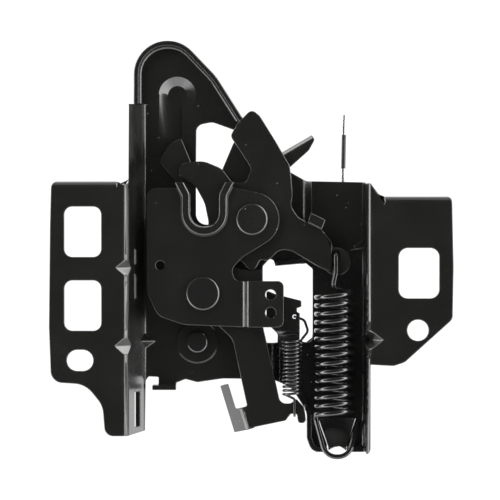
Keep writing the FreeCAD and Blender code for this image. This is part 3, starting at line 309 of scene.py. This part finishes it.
# Pop-up spring: wire, coil, loop under the tongue, shank as steps from the coil's end with their bend radii, and
# hook in the fork
POP_WIRE_R = 1.25
POP_LEFT, POP_Y, POP_FOOT = 56.25, -1.5, -104.0
POP_WIDTH, POP_HEIGHT, POP_HALF_TURNS = 18.0, 60.5, 29
LOOP_LEFT, LOOP_RIGHT, LOOP_Y, LOOP_FLOOR = 61.01, 72.49, 1.1, -125.7
LOOP_R, LOOP_LEG_R, LOOP_NECK_R = 6.9, 6.0, 1.9
LOOP_LEG_TOP, LOOP_END_X, LOOP_END_Z = -107.4, 76.99, -108.4
POP_SHANK = (0, 5.0, 0, 2.2), (-9.7, -1.75, 3.2, 2.6)
HOOK_X, HOOK_Z, HOOK_FRONT, HOOK_BACK = 66.0, -24.3, -3.75, 4.0
HOOK_R, HOOK_STEM, HOOK_STEM_R, HOOK_END = 1.45, 9.0, 3.0, 4.0

# Pawl return spring: wire, coil, lower hook in the notch, shank, and upper hook in the anchor tab
RETURN_WIRE_R = 0.65
RETURN_LEFT, RETURN_Y, RETURN_FOOT = 39.7, -3.2, -94.0
RETURN_WIDTH, RETURN_HEIGHT, RETURN_HALF_TURNS = 8.9, 27.0, 29
NOTCH_X, NOTCH_UNDER, NOTCH_FRONT, NOTCH_BACK = 45.25, -104.9, -2.9, 2.9
NOTCH_R, NOTCH_STEM, NOTCH_STEM_R, NOTCH_END = 1.0, 2.5, 1.2, 2.5
RETURN_SHANK = (0, 2.0, 0, 1.1), (3.5, 3.6, 4.3, 2.9), (1.6, 5.6, 9.8, 2.9)
ANCHOR_X, ANCHOR_Z, ANCHOR_FRONT, ANCHOR_BACK = 45.3, -55.3, -3.1, 2.7
NECK_REACH, NECK_R = 3.4, 1.1

# Safety lever's spring: wire, turns round the pivot, and legs into the web and the lever
SAFETY_WIRE_R = 0.6
SAFETY_LEFT, SAFETY_Y, SAFETY_WIDTH = 14.5, 8.15, 19.0
SAFETY_STEP, SAFETY_HALF_TURNS = 0.625, 3
FORK_X, FORK_Z = 24.0, -6.5
LEG_Z, LEG_BEND, WEB_END, LEVER_END = 7.0, 1.0, 12.1, 3.3


def rounded_route(stations):
    """Points of a bent wire: straight runs between stations (x, y, z, radius), with each inner corner replaced
    by the arc of that radius that touches both runs. With its centre c, and its start s and end e seen from
    there, it is c + (s sin((1 - k) a) + e sin(k a)) / sin a, where a is its angle and k goes from 0 to 1."""
    points = [np.array(stations[0][:3], float)]
    for before, station, after in zip(stations, stations[1:], stations[2:]):
        corner, radius = np.array(station[:3], float), station[3]
        back = np.array(before[:3], float) - corner
        ahead = np.array(after[:3], float) - corner
        back /= np.linalg.norm(back)
        ahead /= np.linalg.norm(ahead)
        half = math.acos(float(back @ ahead)) / 2
        bisector = (back + ahead) / np.linalg.norm(back + ahead)
        centre = corner + bisector * radius / math.sin(half)
        start = corner + back * radius / math.tan(half) - centre
        end = corner + ahead * radius / math.tan(half) - centre
        turn = math.pi - 2 * half
        steps = np.linspace(0, 1, ARC_STEPS + 1)[:, None]
        arc = (start * np.sin((1 - steps) * turn) + end * np.sin(steps * turn)) / math.sin(turn)
        points.extend(centre + arc)
    points.append(np.array(stations[-1][:3], float))
    return np.array(points)


def coil(start, across, outward, rise, half_turns, steps=14):
    """Points of a coil of half circles, each risen a little: m + d cos t + |d| sin t outward, where m is midway
    between a half circle's two ends, d is half the way from one to the other, and t goes from pi to 0."""
    angles = np.linspace(math.pi, 0, steps + 1)[1:, None]
    here, points = np.array(start, float), []
    for index in range(half_turns):
        sense = 1 if index % 2 == 0 else -1
        there = here + np.array(across) * sense + np.array(rise)
        half = (there - here) / 2
        points.append((here + there) / 2 + half * np.cos(angles)
                      + np.array(outward) * sense * np.linalg.norm(half) * np.sin(angles))
        here = there
    return np.concatenate(points)


def wire(name, points, radius, sides, material):
    """Round wire: at each point p of the path the ring p + r (cos t u + sin t v), where u is carried along the
    path without twist, and the two ends are closed with flat caps."""
    keep = np.concatenate([[True], np.linalg.norm(np.diff(points, axis=0), axis=1) > SAME_PLACE])
    points = points[keep]
    ahead = np.gradient(points, axis=0)
    ahead /= np.linalg.norm(ahead, axis=1)[:, None]
    across = np.zeros_like(points)
    side = np.cross(ahead[0], ASLANT)
    for index, direction in enumerate(ahead):
        side = side - direction * (side @ direction)
        side = side / np.linalg.norm(side)
        across[index] = side
    up = np.cross(ahead, across)
    t = np.linspace(0, 2 * math.pi, sides, endpoint=False)
    rings = (points[:, None, :] + radius * (across[:, None, :] * np.cos(t)[None, :, None]
                                            + up[:, None, :] * np.sin(t)[None, :, None]))
    row = np.arange(len(points) - 1)[:, None] * sides
    column = np.arange(sides)[None, :]
    following = (column + 1) % sides
    quads = np.stack([row + column, row + following, row + following + sides, row + column + sides], axis=-1)
    last = (len(points) - 1) * sides
    caps = [list(range(sides))[::-1], [last + index for index in range(sides)]]
    mesh = bpy.data.meshes.new(name)
    mesh.from_pydata((rings.reshape(-1, 3) * MM).tolist(), [], quads.reshape(-1, 4).tolist() + caps)
    mesh.materials.append(material)
    mesh.shade_smooth()
    piece = bpy.data.objects.new(name, mesh)
    bpy.context.scene.collection.objects.link(piece)
    return piece


def shank(top, steps):
    """Stations of the wire where it leaves the coil: the coil's last point p, then p + step for each step, with
    its bend radius."""
    x, y, z = top
    return [(x, y, z, 0)] + [(x + right, y + back, z + up, radius) for right, back, up, radius in steps]


def pop_up_spring():
    """Large extension spring: loop under the tongue, coil, hook through the fork's hole."""
    left = (POP_LEFT, POP_Y, POP_FOOT)
    lower = rounded_route([
        (LOOP_END_X, LOOP_Y, LOOP_END_Z, 0), (LOOP_RIGHT, LOOP_Y, LOOP_FLOOR, LOOP_R),
        (LOOP_LEFT, LOOP_Y, LOOP_FLOOR, LOOP_R), (POP_LEFT, LOOP_Y, LOOP_LEG_TOP, LOOP_LEG_R),
        (POP_LEFT, LOOP_Y, POP_FOOT, LOOP_NECK_R), (*left, 0)])
    turns = coil(left, (POP_WIDTH, 0, 0), (0, -1, 0), (0, 0, POP_HEIGHT / POP_HALF_TURNS), POP_HALF_TURNS)
    upper = rounded_route(shank(turns[-1], POP_SHANK) + [
        (HOOK_X, HOOK_FRONT, HOOK_Z - HOOK_STEM, HOOK_STEM_R), (HOOK_X, HOOK_FRONT, HOOK_Z, HOOK_R),
        (HOOK_X, HOOK_BACK, HOOK_Z, HOOK_R), (HOOK_X, HOOK_BACK, HOOK_Z - HOOK_END, 0)])
    return wire("pop_up_spring_wire", np.concatenate([lower, turns, upper]), POP_WIRE_R, 12, spring_enamel)


def pawl_return_spring():
    """Small extension spring between the anchor tab's hole and the notch in the pawl's foot."""
    left = (RETURN_LEFT, RETURN_Y, RETURN_FOOT)
    lower = rounded_route([
        (NOTCH_X, NOTCH_BACK, NOTCH_UNDER + NOTCH_END, 0), (NOTCH_X, NOTCH_BACK, NOTCH_UNDER, NOTCH_R),
        (NOTCH_X, NOTCH_FRONT, NOTCH_UNDER, NOTCH_R),
        (NOTCH_X, NOTCH_FRONT, RETURN_FOOT - NOTCH_STEM, NOTCH_STEM_R),
        (RETURN_LEFT, RETURN_Y + NECK_REACH, RETURN_FOOT, NECK_R), (*left, 0)])
    turns = coil(left, (RETURN_WIDTH, 0, 0), (0, -1, 0), (0, 0, RETURN_HEIGHT / RETURN_HALF_TURNS),
                 RETURN_HALF_TURNS, 12)
    upper = rounded_route(shank(turns[-1], RETURN_SHANK) + [
        (ANCHOR_X, ANCHOR_BACK, ANCHOR_Z, NECK_R), (ANCHOR_X, ANCHOR_FRONT, ANCHOR_Z, 0)])
    return wire("pawl_return_spring_wire", np.concatenate([lower, turns, upper]), RETURN_WIRE_R, 10,
                spring_enamel)


def safety_return_spring():
    """Wire spring round the safety lever's bush, with one leg in the web and one in the lever."""
    left = (SAFETY_LEFT, SAFETY_Y, FORK_Z)
    turns = coil(left, (SAFETY_WIDTH, 0, 0), (0, 0, -1), (0, -SAFETY_STEP, 0), SAFETY_HALF_TURNS)
    x, y, z = turns[-1]
    web_leg = rounded_route([
        (SAFETY_LEFT, WEB_END, LEG_Z, 0), (SAFETY_LEFT, SAFETY_Y, LEG_Z, LEG_BEND), (*left, 0)])
    lever_leg = rounded_route([(x, y, z, 0), (x, y, LEG_Z, LEG_BEND), (x, LEVER_END, LEG_Z, 0)])
    return wire("safety_return_spring_wire", np.concatenate([web_leg, turns, lever_leg]), SAFETY_WIRE_R, 8,
                spring_enamel)


# Each spring is made in place of its node, which is hidden, and its placement is baked into its points. The table
# also gives its body and the places up to which it would stay with the frame and from which it would follow the
# moving piece; these are not read.
for make, node, body, held, moved in (
        (pop_up_spring, "pop_up_spring", "fork", (HOOK_X, 0, -37.5), (HOOK_X, 0, -26.5)),
        (pawl_return_spring, "pawl_return_spring", "detent", (45.0, 0, -62.0), (45.0, 0, -98.0)),
        (safety_return_spring, "safety_return_spring", "catch", (FORK_X, 8.2, FORK_Z), (FORK_X, 6.2, FORK_Z))):
    spring = make()
    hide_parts(node)
    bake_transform(spring)

# Pieces that keep their CAD shape and only take a finish
for node, material in (
        ("fork_front_washer", rivet_enamel), ("fork_rear_washer", rivet_enamel), ("lever_bush", rivet_enamel),
        ("pawl_front_washer", rivet_enamel), ("pawl_rear_bush", rivet_enamel),
        ("upright_rod", rod_steel), ("rod_sleeve", sleeve_plastic)):
    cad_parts[node].data.materials.clear()
    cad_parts[node].data.materials.append(material)


# Stage, light and camera

FLOOR_X, FLOOR_Y, FLOOR_DROP = (-0.6, 0.65), (-0.6, 0.6), 0.002
# Share of the floor that the camera sees as plain white, and how white
FLOOR_SHARE, FLOOR_WHITE = 0.9, 1.08

# What the gloss reflects: a dark cone round this direction, and outside it a white table below that grows into
# bright panels above, with strips at both sides. Panels are dimmer behind the latch and right overhead.
DARK_CONE = (-0.15, -0.93, 0.33)
CONE_RIM = (0.40, 0.58)
TABLE_TO_PANELS, TABLE_GLOW, PANEL_GLOW = (-0.2, 0.7), 5.0, 9.0
STRIP_RIM, STRIP_GLOW = (0.3, 0.8), 5.0
BEHIND_RIM, BEHIND_SHARE = (-0.1, 0.2), 0.25
OVERHEAD_RIM, OVERHEAD_SHARE = (0.82, 0.96), 0.15
CONE_GLOW = 0.04
# Even light on every dull surface, and the white behind the latch
FILL, BACKDROP = 0.8, 1.1

TARGET = Vector((0.023, 0.0, -0.022))
DISTANCE, ELEVATION = 2.0, math.radians(2.0)
SENSOR, FRAMED = 36.0, 0.25


def stage_floor():
    """Pale floor under the latch: white to the camera apart from a share of its own shading, so that a shadow
    stays."""
    mesh = bpy.data.meshes.new("floor")
    (left, right), (near, far), level = FLOOR_X, FLOOR_Y, cad_box[0][2] - FLOOR_DROP
    mesh.from_pydata([(left, near, level), (right, near, level), (right, far, level), (left, far, level)], [],
                     [(0, 1, 2, 3)])
    floor = bpy.data.objects.new("floor", mesh)
    bpy.context.scene.collection.objects.link(floor)
    material = bpy.data.materials.new("pale_floor")
    material.use_nodes = True
    tree = material.node_tree
    tree.nodes.clear()
    ray = add_node(tree, "ShaderNodeLightPath")
    share = add_node(tree, "ShaderNodeMath", {0: ray.outputs["Is Camera Ray"], 1: FLOOR_SHARE},
                     operation="MULTIPLY")
    matt = add_node(tree, "ShaderNodeBsdfDiffuse", {"Color": linear("#f2f2f0")})
    white = add_node(tree, "ShaderNodeEmission", {"Color": linear("#ffffff"), "Strength": FLOOR_WHITE})
    mixed = add_node(tree, "ShaderNodeMixShader", {
        0: share.outputs[0], 1: matt.outputs[0], 2: white.outputs[0]})
    add_node(tree, "ShaderNodeOutputMaterial", {"Surface": mixed.outputs[0]})
    mesh.materials.append(material)
    floor.visible_glossy = False


def white_world():
    """White background to the camera, the cone, table, panels and strips to reflections, and an even fill to
    everything else."""
    world = bpy.data.worlds.new("studio")
    world.use_nodes = True
    tree = world.node_tree
    tree.nodes.clear()
    ray = add_node(tree, "ShaderNodeLightPath")
    direction = add_node(tree, "ShaderNodeTexCoord").outputs["Generated"]
    axes = add_node(tree, "ShaderNodeSeparateXYZ", {0: direction})
    cone = add_node(tree, "ShaderNodeVectorMath", {0: direction, 1: DARK_CONE}, operation="DOT_PRODUCT")
    beside = add_node(tree, "ShaderNodeMapRange", {
        "Value": cone.outputs["Value"], "From Min": CONE_RIM[0], "From Max": CONE_RIM[1],
        "To Min": 1.0, "To Max": 0.0}, interpolation_type="SMOOTHSTEP")
    above = add_node(tree, "ShaderNodeMapRange", {
        "Value": axes.outputs["Z"], "From Min": TABLE_TO_PANELS[0], "From Max": TABLE_TO_PANELS[1],
        "To Min": TABLE_GLOW, "To Max": PANEL_GLOW})
    sideways = add_node(tree, "ShaderNodeMath", {0: axes.outputs["X"]}, operation="ABSOLUTE")
    strips = add_node(tree, "ShaderNodeMapRange", {
        "Value": sideways.outputs[0], "From Min": STRIP_RIM[0], "From Max": STRIP_RIM[1],
        "To Min": 0.0, "To Max": STRIP_GLOW})
    behind = add_node(tree, "ShaderNodeMapRange", {
        "Value": cone.outputs["Value"], "From Min": BEHIND_RIM[0], "From Max": BEHIND_RIM[1],
        "To Min": BEHIND_SHARE, "To Max": 1.0})
    overhead = add_node(tree, "ShaderNodeMapRange", {
        "Value": axes.outputs["Z"], "From Min": OVERHEAD_RIM[0], "From Max": OVERHEAD_RIM[1],
        "To Min": 1.0, "To Max": OVERHEAD_SHARE})
    shaded = add_node(tree, "ShaderNodeMath", {0: behind.outputs["Result"], 1: overhead.outputs["Result"]},
                      operation="MULTIPLY")
    lit = add_node(tree, "ShaderNodeMath", {0: above.outputs["Result"], 1: strips.outputs["Result"]},
                   operation="ADD")
    panels = add_node(tree, "ShaderNodeMath", {0: lit.outputs[0], 1: shaded.outputs[0]}, operation="MULTIPLY")
    glossy = add_node(tree, "ShaderNodeMath", {0: panels.outputs[0], 1: beside.outputs["Result"], 2: CONE_GLOW},
                      operation="MULTIPLY_ADD")
    seen = add_node(tree, "ShaderNodeMath", {
        0: ray.outputs["Is Camera Ray"], 1: ray.outputs["Is Transmission Ray"]}, operation="MAXIMUM")
    unseen = add_node(tree, "ShaderNodeMix", {0: ray.outputs["Is Glossy Ray"], 2: FILL, 3: glossy.outputs[0]},
                      data_type="FLOAT")
    strength = add_node(tree, "ShaderNodeMix", {0: seen.outputs[0], 2: unseen.outputs[0], 3: BACKDROP},
                        data_type="FLOAT")
    sky = add_node(tree, "ShaderNodeBackground", {"Color": linear("#ffffff"), "Strength": strength.outputs[0]})
    add_node(tree, "ShaderNodeOutputWorld", {"Surface": sky.outputs[0]})
    bpy.context.scene.world = world


def soft_light(name, place, size, watts):
    """Rectangular soft box that faces the latch and doesn't show in its gloss."""
    lamp = bpy.data.lights.new(name, "AREA")
    lamp.shape = "RECTANGLE"
    lamp.size, lamp.size_y = size
    lamp.energy = watts
    holder = bpy.data.objects.new(name, lamp)
    holder.location = place
    holder.rotation_euler = (TARGET - Vector(place)).to_track_quat("-Z", "Y").to_euler()
    holder.visible_glossy = False
    bpy.context.scene.collection.objects.link(holder)


def camera():
    """Long lens in front of the latch and a little above, which frames a width at the latch."""
    lens = bpy.data.cameras.new("front")
    lens.sensor_width = SENSOR
    lens.lens = SENSOR * DISTANCE / FRAMED
    holder = bpy.data.objects.new("front", lens)
    holder.location = TARGET + Vector((0, -math.cos(ELEVATION), math.sin(ELEVATION))) * DISTANCE
    holder.rotation_euler = (TARGET - holder.location).to_track_quat("-Z", "Y").to_euler()
    bpy.context.scene.collection.objects.link(holder)
    bpy.context.scene.camera = holder


stage_floor()
white_world()
soft_light("key", (-0.9, -1.0, 0.9), (0.8, 0.8), 18.0)
soft_light("right_strip", (1.1, -0.5, 0.3), (0.3, 1.0), 5.0)
soft_light("top", (0.1, -0.1, 1.2), (1.0, 0.6), 8.0)
camera()
bpy.context.scene.view_settings.view_transform = "Standard"

bpy.context.view_layer.update()
